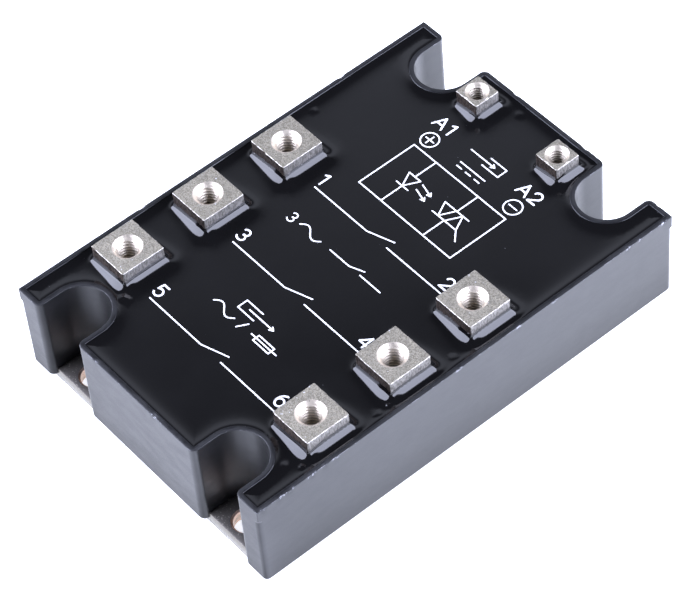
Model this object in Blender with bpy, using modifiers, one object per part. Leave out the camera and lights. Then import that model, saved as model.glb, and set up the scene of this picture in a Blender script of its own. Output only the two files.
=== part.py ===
"""Three-phase panel-mount solid state relay, built as the separate pieces it is assembled from.

The origin is the centre of the base plate's mounting face. +Z points out of the resin side, +Y towards
the two input terminals and +X towards the load terminals. Lengths are in metres.
"""

import math
from typing import NamedTuple

import bmesh
import bpy
from mathutils import Matrix, Vector

MM = 0.001
GAP = 0.3 * MM  # clearance between neighbouring pieces, filled by resin or adhesive
SOLDER = 0.1 * MM  # solder layer between stacked pieces

# Case: an open plastic frame whose four corner notches leave room for the mounting screws.
CASE_WIDTH = 74.0 * MM
CASE_LENGTH = 105.2 * MM
CASE_BOTTOM = 1.7 * MM
CASE_TOP = 23.35 * MM
WALL = 1.1 * MM
CORNER_ROUND = 1.0 * MM
SHARP_RIM = 3.0 * MM  # band under the rim where the outer corners stay sharp
NOTCH_X = 24.2 * MM
NOTCH_Y = 47.0 * MM
NOTCH_RADIUS = 6.2 * MM
MOUTH_ROUND = 1.0 * MM

# Base plate: the aluminium heat spreader, which stands proud of the case's lower edge.
PLATE_THICKNESS = 3.1 * MM
PLATE_INSET = 1.4 * MM
PLATE_CHAMFER = 0.25 * MM
PLATE_CLEARANCE = 0.4 * MM  # room round the plate in the case's rebate
HOLE_RADIUS = 2.65 * MM
HOLE_CHAMFER = 0.4 * MM

RESIN_TOP = 22.7 * MM


class Terminal(NamedTuple):
    """A square nickel-plated brass block.

    bore is the radius of the thread's core, and mouth the radius of the countersink at the top face.
    """

    side: float
    bottom: float
    bore: float
    mouth: float
    depth: float


TERMINAL_TOP = 26.95 * MM
TERMINAL_EDGE = 0.3 * MM
POWER_X = 28.05 * MM
POWER = Terminal(side=10.3 * MM, bottom=14.0 * MM, bore=2.15 * MM, mouth=3.0 * MM, depth=9.5 * MM)
INPUT_X = 11.9 * MM
INPUT_Y = 45.2 * MM
INPUT = Terminal(side=6.2 * MM, bottom=13.7 * MM, bore=1.65 * MM, mouth=2.45 * MM, depth=8.0 * MM)

# Power stage: one group for each phase.
FIRST_PHASE_Y = 8.5 * MM
PHASE_PITCH = 20.2 * MM
PHASES = 3
SUBSTRATE_SIZE = Vector((44.0, 16.0, 0.63)) * MM
PAD_SIZE = Vector((20.4, 14.4, 0.3)) * MM
PAD_SPLIT = 0.75 * MM  # half of the insulating gap between a phase's two pads
DIE_SIZE = Vector((9.0, 9.0, 0.4)) * MM
DIE_X = 8.0 * MM
CLIP_THICKNESS = 0.5 * MM
CLIP_WIDTH = 3.6 * MM
CLIP_Y = 3.0 * MM
CLIP_ARCH = 1.2 * MM  # how far the clip rises above the thyristor as it crosses over
CLIP_GRIP = 3.0 * MM  # half of the length that lies on the thyristor
CLIP_FOOT = (3.1 * MM, 1.2 * MM)  # where its foot ends and starts, from the middle
STRAP_THICKNESS = 0.8 * MM
STRAP_WIDTH = 8.0 * MM
STRAP_RISER_X = 20.6 * MM
STRAP_FOOT_X = 14.5 * MM
GATE_WIRE_RADIUS = 0.3 * MM
GATE_FOOT = 1.2 * MM

# Control board and what stands on it.
BOARD_BOTTOM = 12.0 * MM
BOARD_THICKNESS = 1.6 * MM
BOARD_HALF_WIDTH = 19.0 * MM
BOARD_HALF_LENGTH = 40.0 * MM
TONGUE_HALF_WIDTH = 16.0 * MM
TONGUE_END = 50.5 * MM
OPTO_SIZE = Vector((8.6, 6.4, 3.4)) * MM
CAPACITOR_SIZE = Vector((10.0, 5.0, 4.4)) * MM
REGULATOR_SIZE = Vector((6.5, 6.0, 2.3)) * MM
BODY_EDGE = 0.3 * MM
PARTS_X = 9.0 * MM
SNUBBER_Y = 3.0 * MM
INPUT_PARTS_Y = 28.0 * MM
SNUBBER_BODY = (1.5 * MM, 8.0 * MM)  # radius and length
RESISTOR_BODY = (1.2 * MM, 6.5 * MM)
DIODE_BODY = (1.3 * MM, 5.0 * MM)
BODY_SHOULDER = 0.4 * MM
LEAD_RADIUS = 0.35 * MM
LEAD_LENGTH = 2.0 * MM

BORE_SEGMENTS = 32
AXIAL_SEGMENTS = 16
NOTCH_SEGMENTS = 24
SMALL_ARC_SEGMENTS = 5

SUBSTRATE_BOTTOM = PLATE_THICKNESS + SOLDER
PAD_BOTTOM = SUBSTRATE_BOTTOM + SUBSTRATE_SIZE.z + SOLDER
PAD_TOP = PAD_BOTTOM + PAD_SIZE.z
DIE_BOTTOM = PAD_TOP + SOLDER
DIE_TOP = DIE_BOTTOM + DIE_SIZE.z
BOARD_TOP = BOARD_BOTTOM + BOARD_THICKNESS
PHASE_YS = [FIRST_PHASE_Y - PHASE_PITCH * phase for phase in range(PHASES)]
SIDES = {"line": -1, "load": 1}


def clear_scene():
    for obj in list(bpy.data.objects):
        bpy.data.objects.remove(obj)


def new_collection(name):
    collection = bpy.data.collections.new(name)
    bpy.context.scene.collection.children.link(collection)
    return collection


def new_material(name, colour, roughness, metallic=0.0):
    material = bpy.data.materials.new(name)
    material.use_nodes = True
    shader = material.node_tree.nodes["Principled BSDF"]
    shader.inputs["Base Color"].default_value = (*colour, 1.0)
    shader.inputs["Roughness"].default_value = roughness
    shader.inputs["Metallic"].default_value = metallic
    material.diffuse_color = (*colour, 1.0)
    return material


def place(name, data, collection, material=None):
    """Puts a mesh or curve in the scene. With no material it is a cutter, which is not rendered."""
    obj = bpy.data.objects.new(name, data)
    collection.objects.link(obj)
    if material is None:
        obj.hide_render = True
        obj.display_type = "WIRE"
    else:
        data.materials.append(material)
    return obj


def box(name, centre, size, collection, material=None, edge=0.0):
    """A box around centre, with its edges chamfered by edge."""
    mesh = bpy.data.meshes.new(name)
    shape = bmesh.new()
    bmesh.ops.create_cube(shape, size=1.0, matrix=Matrix.Diagonal((*size, 1.0)))
    shape.to_mesh(mesh)
    shape.free()
    obj = place(name, mesh, collection, material)
    obj.location = centre
    if edge:
        bevel = obj.modifiers.new("Edges", "BEVEL")
        bevel.width = edge
        bevel.segments = 1
    return obj


def resting_box(name, x, y, bottom, size, collection, material, edge=0.0):
    return box(name, (x, y, bottom + size.z / 2), size, collection, material, edge)


def spanning_box(name, low, high, collection):
    """A cutter that fills the space from its low corner to its high corner."""
    low, high = Vector(low), Vector(high)
    return box(name, (low + high) / 2, high - low, collection)


def prism(name, outlines, bottom, top, collection, material=None):
    """A flat outline, with any further outlines as holes in it, drawn out from bottom to top."""
    curve = bpy.data.curves.new(name, "CURVE")
    curve.dimensions = "2D"
    curve.fill_mode = "BOTH"
    curve.extrude = (top - bottom) / 2
    for outline in outlines:
        spline = curve.splines.new("POLY")
        spline.points.add(len(outline) - 1)
        for point, (x, y) in zip(spline.points, outline):
            point.co = (x, y, 0.0, 1.0)
        spline.use_cyclic_u = True
    guide = bpy.data.objects.new(name + "_guide", curve)
    bpy.context.scene.collection.objects.link(guide)
    bpy.context.view_layer.update()
    graph = bpy.context.evaluated_depsgraph_get()
    mesh = bpy.data.meshes.new_from_object(guide.evaluated_get(graph))
    bpy.data.objects.remove(guide)
    weld(mesh)
    mesh.name = name
    obj = place(name, mesh, collection, material)
    obj.location.z = (bottom + top) / 2
    return obj


def weld(mesh):
    """Joins a converted curve's caps to its sides and turns every face outwards."""
    shape = bmesh.new()
    shape.from_mesh(mesh)
    bmesh.ops.remove_doubles(shape, verts=shape.verts, dist=MM / 1000)
    bmesh.ops.recalc_face_normals(shape, faces=shape.faces)
    shape.to_mesh(mesh)
    shape.free()


def turned(name, profile, location, collection, material=None, segments=BORE_SEGMENTS, turn=None):
    """A profile of (radius, height) points, from the top of its axis to the bottom, spun about Z."""
    mesh = bpy.data.meshes.new(name)
    points = [(radius, 0.0, height) for radius, height in profile]
    mesh.from_pydata(points, [(i, i + 1) for i in range(len(points) - 1)], [])
    obj = place(name, mesh, collection, material)
    obj.location = location
    if turn:
        obj.rotation_euler = turn
    screw = obj.modifiers.new("Turn", "SCREW")
    screw.steps = screw.render_steps = segments
    screw.use_merge_vertices = True
    screw.merge_threshold = MM / 1000
    screw.use_smooth_shade = True
    return obj


def bent_strip(name, profile, y, width, thickness, collection, material):
    """Sheet metal that follows a profile of (x, z) points and is width wide along Y."""
    mesh = bpy.data.meshes.new(name)
    shape = bmesh.new()
    ends = [[shape.verts.new((x, side * width / 2, z)) for x, z in profile] for side in (-1, 1)]
    for i in range(len(profile) - 1):
        shape.faces.new((ends[0][i], ends[0][i + 1], ends[1][i + 1], ends[1][i]))
    shape.to_mesh(mesh)
    shape.free()
    obj = place(name, mesh, collection, material)
    obj.location.y = y
    sheet = obj.modifiers.new("Sheet", "SOLIDIFY")
    sheet.thickness = thickness
    sheet.offset = 0.0
    sheet.use_even_offset = True
    return obj


def wire(name, points, radius, collection, material):
    curve = bpy.data.curves.new(name, "CURVE")
    curve.dimensions = "3D"
    curve.bevel_depth = radius
    curve.bevel_resolution = 1
    curve.use_fill_caps = True
    spline = curve.splines.new("POLY")
    spline.points.add(len(points) - 1)
    for point, place_at in zip(spline.points, points):
        point.co = (*place_at, 1.0)
    return place(name, curve, collection, material)


def cut(obj, *cutters):
    for cutter in cutters:
        boolean = obj.modifiers.new("Cut " + cutter.name, "BOOLEAN")
        boolean.operation = "DIFFERENCE"
        boolean.solver = "EXACT"
        boolean.object = cutter


def arc(centre_x, centre_y, radius, start, end, segments):
    """Points on an arc, both ends included. Angles are in degrees, anticlockwise when end is larger."""
    angles = [math.radians(start + (end - start) * i / segments) for i in range(segments + 1)]
    return [(centre_x + radius * math.cos(a), centre_y + radius * math.sin(a)) for a in angles]


def notched_outline(inset, mouth=0.0):
    """The case's outline drawn in by inset, with its four U-shaped notches grown by the same amount."""
    side, end = CASE_WIDTH / 2 - inset, CASE_LENGTH / 2 - inset
    radius = NOTCH_RADIUS + inset
    outer, inner = NOTCH_X + radius, NOTCH_X - radius
    quarter = [(side, end)]
    if mouth:
        quarter += arc(outer + mouth, end - mouth, mouth, 90, 180, SMALL_ARC_SEGMENTS)
    else:
        quarter += [(outer, end)]
    quarter += arc(NOTCH_X, NOTCH_Y, radius, 0, -180, NOTCH_SEGMENTS)
    if mouth:
        quarter += arc(inner - mouth, end - mouth, mouth, 0, 90, SMALL_ARC_SEGMENTS)
    else:
        quarter += [(inner, end)]
    half = quarter + [(-x, y) for x, y in reversed(quarter)]
    return half + [(-x, -y) for x, y in half]


def mounting_points():
    return [(x * NOTCH_X, y * NOTCH_Y) for x in (-1, 1) for y in (-1, 1)]


def make_base_plate(parts, cutters, material):
    size = (CASE_WIDTH - 2 * PLATE_INSET, CASE_LENGTH - 2 * PLATE_INSET, PLATE_THICKNESS)
    plate = box("base_plate", (0, 0, PLATE_THICKNESS / 2), size, parts, material, PLATE_CHAMFER)
    wide, over = HOLE_RADIUS + HOLE_CHAMFER, MM
    profile = [
        (0.0, PLATE_THICKNESS + over),
        (wide + over, PLATE_THICKNESS + over),
        (HOLE_RADIUS, PLATE_THICKNESS - HOLE_CHAMFER),
        (HOLE_RADIUS, -over),
        (0.0, -over),
    ]
    for number, (x, y) in enumerate(mounting_points(), 1):
        cut(plate, turned(f"mounting_hole_{number}", profile, (x, y, 0), cutters))


def make_case(parts, cutters, material):
    """The frame: a ring with four notches, cut away underneath to sit over the base plate."""
    outer = notched_outline(0.0, mouth=MOUTH_ROUND)
    inner = notched_outline(WALL)
    case = prism("case_frame", [outer, inner], CASE_BOTTOM, CASE_TOP, parts, material)
    round_lower_corners(case)
    recess_x = CASE_WIDTH / 2 - PLATE_INSET + PLATE_CLEARANCE
    recess_y = CASE_LENGTH / 2 - PLATE_INSET + PLATE_CLEARANCE
    recess = spanning_box(
        "plate_recess", (-recess_x, -recess_y, 0), (recess_x, recess_y, PLATE_THICKNESS + GAP), cutters
    )
    cut(case, recess)


def round_lower_corners(case):
    """Rounds the frame's four outer corners, except in a band under the rim where they stay sharp."""
    band = CASE_TOP - SHARP_RIM - case.location.z
    shape = bmesh.new()
    shape.from_mesh(case.data)
    everything = shape.verts[:] + shape.edges[:] + shape.faces[:]
    bmesh.ops.bisect_plane(shape, geom=everything, plane_co=(0, 0, band), plane_no=(0, 0, 1))
    weight = shape.edges.layers.float.new("bevel_weight_edge")
    corner = Vector((CASE_WIDTH / 2, CASE_LENGTH / 2))
    for edge in shape.edges:
        middle = (edge.verts[0].co + edge.verts[1].co) / 2
        on_corner = (Vector((abs(middle.x), abs(middle.y))) - corner).length < CORNER_ROUND / 10
        if on_corner and middle.z < band:
            edge[weight] = 1.0
    shape.to_mesh(case.data)
    shape.free()
    bevel = case.modifiers.new("Lower corners", "BEVEL")
    bevel.limit_method = "WEIGHT"
    bevel.width = CORNER_ROUND
    bevel.segments = SMALL_ARC_SEGMENTS


def make_resin(parts, cutters, material):
    """The potting block: it fills the case and leaves one pocket, open below, round the electronics."""
    outline = notched_outline(WALL + GAP)
    resin = prism("potting_resin", [outline], PLATE_THICKNESS + GAP, RESIN_TOP, parts, material)
    cut(resin, *board_pockets(cutters))
    for phase, y in enumerate(PHASE_YS, 1):
        cut(resin, *phase_pockets(phase, y, cutters))
    half, top = INPUT.side / 2 + GAP, RESIN_TOP + MM
    for number, side in enumerate((-1, 1), 1):
        low = (side * INPUT_X - half, INPUT_Y - half, BOARD_TOP)
        high = (side * INPUT_X + half, INPUT_Y + half, top)
        cut(resin, spanning_box(f"input_pocket_{number}", low, high, cutters))


def board_pockets(cutters):
    wide, long = BOARD_HALF_WIDTH + GAP, BOARD_HALF_LENGTH + GAP
    tallest = BOARD_TOP + SOLDER + CAPACITOR_SIZE.z + 2 * GAP
    low = BOARD_BOTTOM - GAP
    board = spanning_box("board_pocket", (-wide, -long, low), (wide, long, tallest), cutters)
    narrow, end = TONGUE_HALF_WIDTH + GAP, TONGUE_END + GAP
    start, lid = long - MM, BOARD_TOP + GAP
    tongue = spanning_box("tongue_pocket", (-narrow, start, low), (narrow, end, lid), cutters)
    return board, tongue


def phase_pockets(phase, y, cutters):
    """Pockets for one phase's power stage, its two copper straps and its two terminals."""
    half_x, half_y = SUBSTRATE_SIZE.x / 2 + GAP, SUBSTRATE_SIZE.y / 2 + GAP
    low, high = (-half_x, y - half_y, 0), (half_x, y + half_y, BOARD_BOTTOM)
    made = [spanning_box(f"phase_{phase}_pocket", low, high, cutters)]
    strap_y = STRAP_WIDTH / 2 + GAP
    strap_x = POWER_X + POWER.side / 2 + GAP
    half, top = POWER.side / 2 + GAP, RESIN_TOP + MM
    for name, side in SIDES.items():
        near, far = sorted((side * (BOARD_HALF_WIDTH - MM), side * strap_x))
        low, high = (near, y - strap_y, BOARD_BOTTOM - GAP), (far, y + strap_y, POWER.bottom + GAP)
        made.append(spanning_box(f"{name}_strap_{phase}_pocket", low, high, cutters))
        x = side * POWER_X
        low, high = (x - half, y - half, POWER.bottom), (x + half, y + half, top)
        made.append(spanning_box(f"{name}_terminal_{phase}_pocket", low, high, cutters))
    return made


def make_terminal(name, terminal, x, y, parts, cutters, material):
    """A square block with a countersunk blind bore for its clamping screw."""
    size = Vector((terminal.side, terminal.side, TERMINAL_TOP - terminal.bottom))
    block = resting_box(name, x, y, terminal.bottom, size, parts, material, TERMINAL_EDGE)
    bore, mouth, over = terminal.bore, terminal.mouth, 0.5 * MM
    profile = [
        (0.0, over),
        (mouth + over, over),
        (bore, bore - mouth),
        (bore, -terminal.depth),
        (0.0, -terminal.depth - bore / 2),
    ]
    cut(block, turned(name + "_bore", profile, (x, y, TERMINAL_TOP), cutters))


def make_terminals(parts, cutters, material):
    for phase, y in enumerate(PHASE_YS):
        for number, (name, side) in enumerate(SIDES.items(), 2 * phase + 1):
            make_terminal(f"{name}_terminal_{number}", POWER, side * POWER_X, y, parts, cutters, material)
    for name, side in (("input_terminal_a1", -1), ("input_terminal_a2", 1)):
        make_terminal(name, INPUT, side * INPUT_X, INPUT_Y, parts, cutters, material)


def make_phase(phase, y, parts, materials):
    """One phase: an insulating substrate, two pads, two thyristors back to back and their copper work."""
    ceramic, copper, silicon = materials["ceramic"], materials["copper"], materials["silicon"]
    resting_box(f"ceramic_substrate_{phase}", 0, y, SUBSTRATE_BOTTOM, SUBSTRATE_SIZE, parts, ceramic)
    for name, side in SIDES.items():
        pad_x = side * (PAD_SPLIT + PAD_SIZE.x / 2)
        resting_box(f"{name}_pad_{phase}", pad_x, y, PAD_BOTTOM, PAD_SIZE, parts, copper)
        resting_box(f"{name}_thyristor_{phase}", side * DIE_X, y, DIE_BOTTOM, DIE_SIZE, parts, silicon)
        make_cathode_clip(f"{name}_cathode_clip_{phase}", side, y, parts, copper)
        make_strap(f"{name}_strap_{phase}", side, y, parts, copper)
        make_gate_wire(f"{name}_gate_wire_{phase}", side, y, parts, materials["tin"])


def make_cathode_clip(name, side, y, parts, material):
    """A copper bridge from the top of one thyristor to the other side's pad."""
    on_die = DIE_TOP + SOLDER + CLIP_THICKNESS / 2
    on_pad = PAD_TOP + SOLDER + CLIP_THICKNESS / 2
    crest = on_die + CLIP_ARCH
    far, near = DIE_X + CLIP_GRIP, DIE_X - CLIP_GRIP
    toe, heel = CLIP_FOOT
    profile = [
        (side * far, on_die),
        (side * near, on_die),
        (side * (near - CLIP_ARCH), crest),
        (0.0, crest),
        (-side * heel, on_pad),
        (-side * toe, on_pad),
    ]
    bent_strip(name, profile, y - side * CLIP_Y, CLIP_WIDTH, CLIP_THICKNESS, parts, material)


def make_strap(name, side, y, parts, material):
    """The copper strap that carries the load current from a pad up to its terminal block."""
    foot = PAD_TOP + SOLDER + STRAP_THICKNESS / 2
    seat = POWER.bottom - SOLDER - STRAP_THICKNESS / 2
    profile = [
        (side * STRAP_FOOT_X, foot),
        (side * STRAP_RISER_X, foot),
        (side * STRAP_RISER_X, seat),
        (side * (POWER_X + POWER.side / 2), seat),
    ]
    bent_strip(name, profile, y, STRAP_WIDTH, STRAP_THICKNESS, parts, material)


def make_gate_wire(name, side, y, parts, material):
    """The wire from a thyristor's gate corner up to the control board."""
    x, wire_y = side * DIE_X, y + side * CLIP_Y
    foot = DIE_TOP + SOLDER + GATE_WIRE_RADIUS
    top = BOARD_BOTTOM - SOLDER
    points = [(x + side * GATE_FOOT, wire_y, foot), (x, wire_y, foot), (x, wire_y, top)]
    wire(name, points, GATE_WIRE_RADIUS, parts, material)


def make_control_board(parts, material):
    """The board has a tongue that reaches under the input terminals, between the two notches."""
    wide, long = BOARD_HALF_WIDTH, BOARD_HALF_LENGTH
    outline = [
        (-wide, -long),
        (wide, -long),
        (wide, long),
        (TONGUE_HALF_WIDTH, long),
        (TONGUE_HALF_WIDTH, TONGUE_END),
        (-TONGUE_HALF_WIDTH, TONGUE_END),
        (-TONGUE_HALF_WIDTH, long),
        (-wide, long),
    ]
    prism("control_board", [outline], BOARD_BOTTOM, BOARD_TOP, parts, material)


def axial_part(name, body, x, y, turn, parts, material):
    """A leaded resistor or diode lying on the board, with its leads. body is its radius and length."""
    radius, length = body
    half = length / 2
    end = half + LEAD_LENGTH
    shoulder = radius - BODY_SHOULDER
    upper = [
        (0.0, end),
        (LEAD_RADIUS, end),
        (LEAD_RADIUS, half),
        (shoulder, half),
        (radius, half - BODY_SHOULDER),
    ]
    profile = upper + [(r, -height) for r, height in reversed(upper)]
    location = (x, y, BOARD_TOP + SOLDER + radius)
    turned(name, profile, location, parts, material, segments=AXIAL_SEGMENTS, turn=turn)


def make_board_parts(parts, materials):
    """What stands on the board: each phase's optocoupler and snubber, and the input circuit."""
    moulded, film, lacquer = materials["moulded"], materials["film"], materials["lacquer"]
    bottom = BOARD_TOP + SOLDER
    along_x, along_y = (0, math.pi / 2, 0), (math.pi / 2, 0, 0)
    for phase, y in enumerate(PHASE_YS, 1):
        resting_box(f"optocoupler_{phase}", -PARTS_X, y, bottom, OPTO_SIZE, parts, moulded, BODY_EDGE)
        x, above, below = PARTS_X, y + SNUBBER_Y, y - SNUBBER_Y
        resting_box(f"snubber_capacitor_{phase}", x, above, bottom, CAPACITOR_SIZE, parts, film, BODY_EDGE)
        axial_part(f"snubber_resistor_{phase}", SNUBBER_BODY, x, below, along_x, parts, lacquer)
    y = INPUT_PARTS_Y
    resting_box("current_regulator", 0, y, bottom, REGULATOR_SIZE, parts, moulded, BODY_EDGE)
    axial_part("input_resistor", RESISTOR_BODY, -PARTS_X, y, along_y, parts, lacquer)
    axial_part("polarity_diode", DIODE_BODY, PARTS_X, y, along_y, parts, moulded)


def make_materials():
    return {
        "plate": new_material("Aluminium plate", (0.62, 0.62, 0.63), 0.42, 0.9),
        "case": new_material("Black case plastic", (0.028, 0.028, 0.032), 0.6),
        "resin": new_material("Black potting resin", (0.010, 0.010, 0.013), 0.14),
        "nickel": new_material("Nickel plate", (0.62, 0.60, 0.55), 0.38, 0.9),
        "copper": new_material("Copper", (0.72, 0.40, 0.26), 0.35, 0.9),
        "tin": new_material("Tinned wire", (0.66, 0.66, 0.64), 0.35, 0.9),
        "ceramic": new_material("Alumina", (0.84, 0.83, 0.79), 0.5),
        "silicon": new_material("Silicon", (0.20, 0.21, 0.24), 0.25),
        "board": new_material("Glass epoxy board", (0.06, 0.22, 0.10), 0.4),
        "moulded": new_material("Moulded body", (0.03, 0.03, 0.03), 0.55),
        "film": new_material("Film capacitor case", (0.60, 0.45, 0.12), 0.45),
        "lacquer": new_material("Resistor lacquer", (0.33, 0.38, 0.47), 0.45),
    }


def main():
    clear_scene()
    parts = new_collection("Solid state relay")
    cutters = new_collection("Cutters")
    materials = make_materials()
    make_base_plate(parts, cutters, materials["plate"])
    make_case(parts, cutters, materials["case"])
    make_resin(parts, cutters, materials["resin"])
    make_terminals(parts, cutters, materials["nickel"])
    for phase, y in enumerate(PHASE_YS, 1):
        make_phase(phase, y, parts, materials)
    make_control_board(parts, materials["board"])
    make_board_parts(parts, materials)


main()
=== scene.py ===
"""Looks of the polyphase solid state relay: potted resin, moulded case, plated blocks, plate and print.

Lengths are in millimetres until a mesh is made. +Z points out of the resin side, +Y towards the two
input terminals and +X towards the load terminals, as in the frame.
"""

import math

import bmesh
import bpy
import numpy as np
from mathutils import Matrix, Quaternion, Vector, noise
from mathutils.geometry import delaunay_2d_cdt


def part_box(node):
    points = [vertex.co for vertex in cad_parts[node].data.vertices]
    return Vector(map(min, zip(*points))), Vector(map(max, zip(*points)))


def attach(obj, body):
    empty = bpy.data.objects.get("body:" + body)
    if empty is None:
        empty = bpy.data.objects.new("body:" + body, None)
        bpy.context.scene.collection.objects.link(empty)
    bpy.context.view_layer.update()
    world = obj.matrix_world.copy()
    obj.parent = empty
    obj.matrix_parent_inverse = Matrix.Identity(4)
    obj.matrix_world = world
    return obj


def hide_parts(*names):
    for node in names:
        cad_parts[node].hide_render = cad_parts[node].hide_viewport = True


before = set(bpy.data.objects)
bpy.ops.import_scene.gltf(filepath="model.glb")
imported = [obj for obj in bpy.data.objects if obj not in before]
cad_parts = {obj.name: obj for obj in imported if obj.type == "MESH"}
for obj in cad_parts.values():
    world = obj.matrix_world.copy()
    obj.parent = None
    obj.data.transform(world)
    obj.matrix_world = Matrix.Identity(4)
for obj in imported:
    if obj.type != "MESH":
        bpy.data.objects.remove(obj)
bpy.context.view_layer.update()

MM = 0.001


def corners(node):
    """A node's lowest and highest corners in millimetres."""
    low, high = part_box(node)
    return np.array(low) / MM, np.array(high) / MM


CASE_LOW, CASE_HIGH = corners("case_frame")
PLATE_LOW, PLATE_HIGH = corners("base_plate")
SIDE, END = CASE_HIGH[0], CASE_HIGH[1]
RIM = CASE_HIGH[2]
RESIN_RISE = 0.06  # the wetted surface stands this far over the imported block
RESIN_TOP = corners("potting_resin")[1][2] + RESIN_RISE
WALL = 1.1  # thickness of the case's wall at the rim
NOTCH_X, NOTCH_Y, NOTCH_RADIUS = 24.2, 47.0, 6.2
MOUTH = 1.4  # rounding where a notch opens to the end
LOWER_CORNER, UPPER_CORNER = 1.0, 0.14
BAND = 3.0  # height under the rim where the outer corners stay sharp

POWER_NODES = [f"line_terminal_{n}" for n in (1, 3, 5)] + [f"load_terminal_{n}" for n in (2, 4, 6)]
INPUT_NODES = ["input_terminal_a1", "input_terminal_a2"]
THREADS = {"power": (2.07, 2.5, 0.8, 3.02), "input": (1.62, 2.0, 0.7, 2.45)}  # core, crest, pitch, mouth
BORE_DEPTH = {"power": 8.6, "input": 7.2}
THREAD_DARK_FROM = {"power": 1.0, "input": 0.1}  # depth where the grooves start to darken
BORE_SHINE = {"power": 1.0, "input": 0.55}  # share of the bore's bright finish

WALL_CLIMB, WALL_REACH = 0.38, 0.95  # the meniscus along the walls: height, width
BLOCK_SLOPE, BLOCK_REACH = 0.87, 1.75  # the one round a block: steepness, width
CORNER_DROP = 0.20  # share it loses at a block's front corners
WET_CLIMB, WET_REACH = 0.40, 0.22  # the steep film right against a block
SUNK = 0.12  # how far the resin's edge reaches into what it wets
BLOCK_ROUND = 0.35  # rounding of a block's upright edges
LIP = 0.03  # burr raised round a countersink
EDGE = 0.15  # rounding of a block's top edges

# ---- meshes


def link(obj):
    bpy.context.scene.collection.objects.link(obj)


def add_piece(name, vertices, faces, material, smooth=True):
    """A mesh object from vertices in millimetres."""
    mesh = bpy.data.meshes.new(name)
    mesh.from_pydata((np.asarray(vertices, float) * MM).tolist(), [], faces)
    mesh.validate()
    if smooth:
        mesh.shade_smooth()
    obj = bpy.data.objects.new(name, mesh)
    link(obj)
    mesh.materials.append(material)
    return obj


def paint(obj, name, values):
    """Stores one number for each vertex, for the material to read."""
    attribute = obj.data.attributes.new(name, "FLOAT", "POINT")
    attribute.data.foreach_set("value", np.asarray(values, np.float32))


def gather(items, name, width=1, kind=np.float32):
    """A property of all of a mesh's vertices, loops or faces, as a column or as rows of width."""
    values = np.empty(len(items) * width, kind)
    items.foreach_get(name, values)
    return values if width == 1 else values.reshape(-1, width)


def lifted(points, height):
    """Plan points with a height, or a height each."""
    return np.column_stack([points, np.broadcast_to(height, len(points))])


def loft(rings, closed=False):
    """Vertices and quads through rings of equal length. closed joins the last ring to the first."""
    count, around = len(rings), len(rings[0])
    vertices = np.concatenate(rings)
    index = np.arange(around)
    after = (index + 1) % around
    faces = []
    for i in range(count if closed else count - 1):
        a, b = i * around, ((i + 1) % count) * around
        faces.append(np.stack([a + index, a + after, b + after, b + index], axis=1))
    return vertices, np.concatenate(faces).tolist()


def arc(cx, cy, radius, start, end, steps):
    angles = np.radians(np.linspace(start, end, steps + 1))
    return np.stack([cx + radius * np.cos(angles), cy + radius * np.sin(angles)], axis=1)


def line(start, end, count, first=0.5):
    """count points spread evenly between two ends, neither of them included."""
    t = ((np.arange(count) + first) / count)[:, None]
    return np.array(start) * (1 - t) + np.array(end) * t


def quarter_outline(inset, corner, fine):
    """The case's outline from the middle of its +X side to the middle of its +Y end."""
    side, end = SIDE - inset, END - inset
    radius = NOTCH_RADIUS + inset
    outer, inner = NOTCH_X + radius, NOTCH_X - radius
    c = max(corner - inset, 0.05)
    m = max(MOUTH - inset, 0.05)

    def steps(count):
        return max(2, round(count * fine))

    return np.concatenate([
        line((side, 0), (side, end - c), steps(116)),
        arc(side - c, end - c, c, 0, 90, 6),
        line((side - c, end), (outer + m, end), steps(14)),
        arc(outer + m, end - m, m, 90, 180, 6),
        line((outer, end - m), (outer, NOTCH_Y), steps(10), 0.02),
        arc(NOTCH_X, NOTCH_Y, radius, 0, -180, steps(40)),
        line((inner, NOTCH_Y), (inner, end - m), steps(10), 0.98),
        arc(inner - m, end - m, m, 0, 90, 6),
        line((inner - m, end), (0, end), steps(38)),
    ])


def all_round(quarter):
    """A whole outline from its quarter between +X and +Y."""
    half = np.concatenate([quarter, quarter[::-1] * (-1, 1)])
    return np.concatenate([half, -half])


def case_outline(inset, corner=UPPER_CORNER, fine=1.0):
    return all_round(quarter_outline(inset, corner, fine))


def in_notch(points):
    """True where the outline runs along a notch's side or round its arc, so that it stands on the plate."""
    x, y = np.abs(points[:, 0]), np.abs(points[:, 1])
    return (np.abs(x - NOTCH_X) < NOTCH_RADIUS + 0.01) & (y < END - MOUTH - 0.001)


def fractal(points, scale):
    """Smooth noise between about -1 and 1 at each point, with features scale millimetres across."""
    return np.array([noise.fractal(Vector(p) / scale, 1.0, 2.0, 3) for p in points])


# ---- case

CHIPS = [  # x, y, depth, reach of each knock in the rim
    (SIDE, -51.2, 0.30, 0.6), (SIDE, -47.3, 0.22, 0.8), (SIDE, -45.0, 0.26, 1.0), (SIDE, -39.4, 0.30, 0.7),
    (SIDE, -36.2, 0.30, 0.6), (SIDE, -33.5, 0.12, 0.8), (SIDE, -3.0, 0.10, 0.9), (SIDE, 12.2, 0.14, 0.7),
    (SIDE, 21.5, 0.12, 0.6), (SIDE, 40.6, 0.26, 0.7), (SIDE, 44.0, 0.14, 0.6), (SIDE, 50.6, 0.30, 0.8),
    (-8.5, END, 0.18, 0.7), (6.0, -END, 0.22, 0.7), (-12.0, -END, 0.16, 0.6), (-SIDE, -22.0, 0.14, 0.8),
    (-SIDE, 30.0, 0.18, 0.7), (12.0, END, 0.14, 0.6), (33.0, END, 0.12, 0.5),
]
KNOCKED = 0.9  # height under the rim that a knock can reach


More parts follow.
